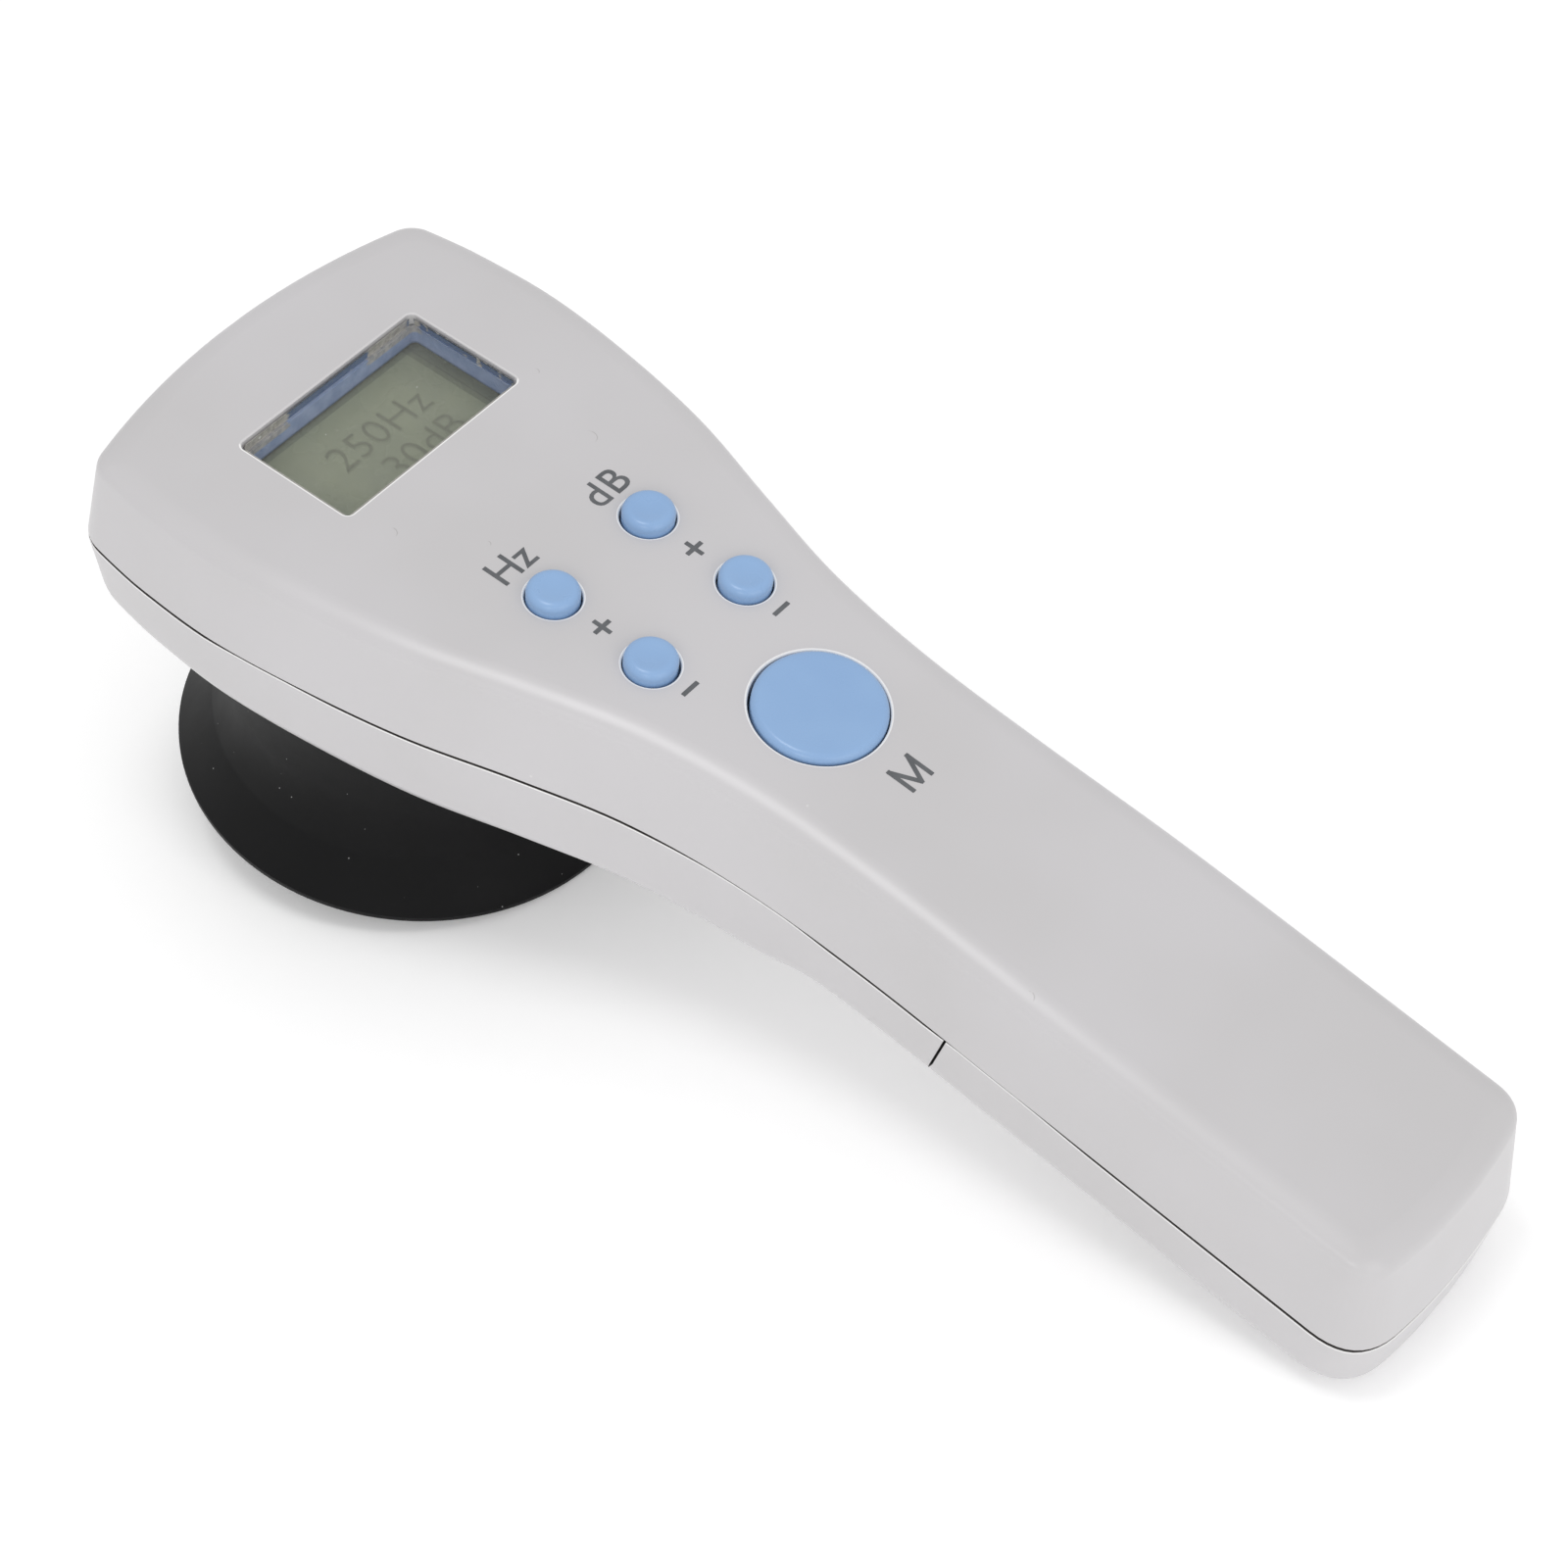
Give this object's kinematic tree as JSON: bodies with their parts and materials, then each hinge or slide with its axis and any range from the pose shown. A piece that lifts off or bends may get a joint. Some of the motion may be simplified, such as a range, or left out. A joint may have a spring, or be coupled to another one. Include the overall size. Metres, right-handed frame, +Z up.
{
  "type": "handheld audiometer",
  "caption": "Handheld hearing tester: a flat head with a display window and blue push buttons, a slim battery grip behind it, and a round black ear cushion under the head.",
  "frame": {"origin": "middle of the underside of the whole part's box, on the floor that it rests on", "axes": "+X from the display end towards the end of the grip, +Y towards the side of the dB buttons, +Z up. The part rests on the edge of its ear cushion and the end of its grip, so the flat top of its head is tilted by 8.25 degrees about +Y."},
  "size_m": [0.222, 0.0758, 0.0765],
  "materials": {
    "casing_plastic": "satin moulded, light grey",
    "key_plastic": "satin moulded, sky blue",
    "cushion_rubber": "soft moulded, black",
    "clear_pane": "clear moulded pane",
    "gasket_foam": "fine foam, blue",
    "display_panel": "grey-green liquid crystal panel",
    "dark_plastic": "moulded, dark grey",
    "pale_rubber": "moulded, cream",
    "connector_plastic": "moulded, cream",
    "board_laminate": "green coated laminate",
    "plated_steel": "plated sheet and wire",
    "screw_steel": "plated",
    "cell_jacket": "plain printed jacket",
    "red_sleeve": "soft insulation, red",
    "black_sleeve": "soft insulation, black"
  },
  "bodies": {
    "housing": {"front_housing": "casing_plastic", "rear_housing": "casing_plastic", "display_window": "clear_pane", "display_gasket": "gasket_foam", "display_glass": "display_panel", "display_holder": "dark_plastic", "contact_strip_front": "pale_rubber", "contact_strip_rear": "pale_rubber", "main_circuit_board": "board_laminate", "controller_chip": "dark_plastic", "amplifier_chip": "dark_plastic", "earphone_connector": "connector_plastic", "battery_connector": "connector_plastic", "hz_plus_switch": "dark_plastic", "hz_minus_switch": "dark_plastic", "db_plus_switch": "dark_plastic", "db_minus_switch": "dark_plastic", "measure_switch": "dark_plastic", "earphone_driver": "dark_plastic", "earphone_screen": "dark_plastic", "earphone_retainer": "dark_plastic", "battery_tray": "dark_plastic", "ear_cushion": "cushion_rubber", "battery_1": "cell_jacket", "battery_2": "cell_jacket", "positive_terminal": "plated_steel", "negative_terminal": "plated_steel", "link_plate": "plated_steel", "terminal_spring": "plated_steel", "link_spring": "plated_steel", "battery_lead_red": "red_sleeve", "battery_lead_black": "black_sleeve", "earphone_lead_red": "red_sleeve", "earphone_lead_black": "black_sleeve", "housing_screw_1": "screw_steel", "board_screw_1": "screw_steel", "housing_screw_2": "screw_steel", "board_screw_2": "screw_steel", "housing_screw_3": "screw_steel", "board_screw_3": "screw_steel", "housing_screw_4": "screw_steel", "board_screw_4": "screw_steel", "tray_screw_1": "screw_steel", "tray_screw_2": "screw_steel"},
    "hz_plus_button": {"hz_plus_button": "key_plastic", "hz_plus_plunger": "pale_rubber"},
    "hz_minus_button": {"hz_minus_button": "key_plastic", "hz_minus_plunger": "pale_rubber"},
    "db_plus_button": {"db_plus_button": "key_plastic", "db_plus_plunger": "pale_rubber"},
    "db_minus_button": {"db_minus_button": "key_plastic", "db_minus_plunger": "pale_rubber"},
    "measure_button": {"measure_button": "key_plastic", "measure_plunger": "pale_rubber"},
    "battery_cover": {"battery_cover": "casing_plastic"}
  },
  "joints": [
    {"name": "hz_plus_press", "type": "slide", "parent": "housing", "child": "hz_plus_button", "axis": [-0.1435, 0, -0.9897], "range_m": [0, 0.0008], "stiffness_N_per_m": 600},
    {"name": "hz_minus_press", "type": "slide", "parent": "housing", "child": "hz_minus_button", "axis": [-0.1435, 0, -0.9897], "range_m": [0, 0.0008], "stiffness_N_per_m": 600},
    {"name": "db_plus_press", "type": "slide", "parent": "housing", "child": "db_plus_button", "axis": [-0.1435, 0, -0.9897], "range_m": [0, 0.0008], "stiffness_N_per_m": 600},
    {"name": "db_minus_press", "type": "slide", "parent": "housing", "child": "db_minus_button", "axis": [-0.1435, 0, -0.9897], "range_m": [0, 0.0008], "stiffness_N_per_m": 600},
    {"name": "measure_press", "type": "slide", "parent": "housing", "child": "measure_button", "axis": [-0.1435, 0, -0.9897], "range_m": [0, 0.0008], "stiffness_N_per_m": 600},
    {"name": "battery_cover_slide", "type": "slide", "parent": "housing", "child": "battery_cover", "axis": [0.9566, 0, -0.2915], "range_m": [0, 0.06]}
  ]
}
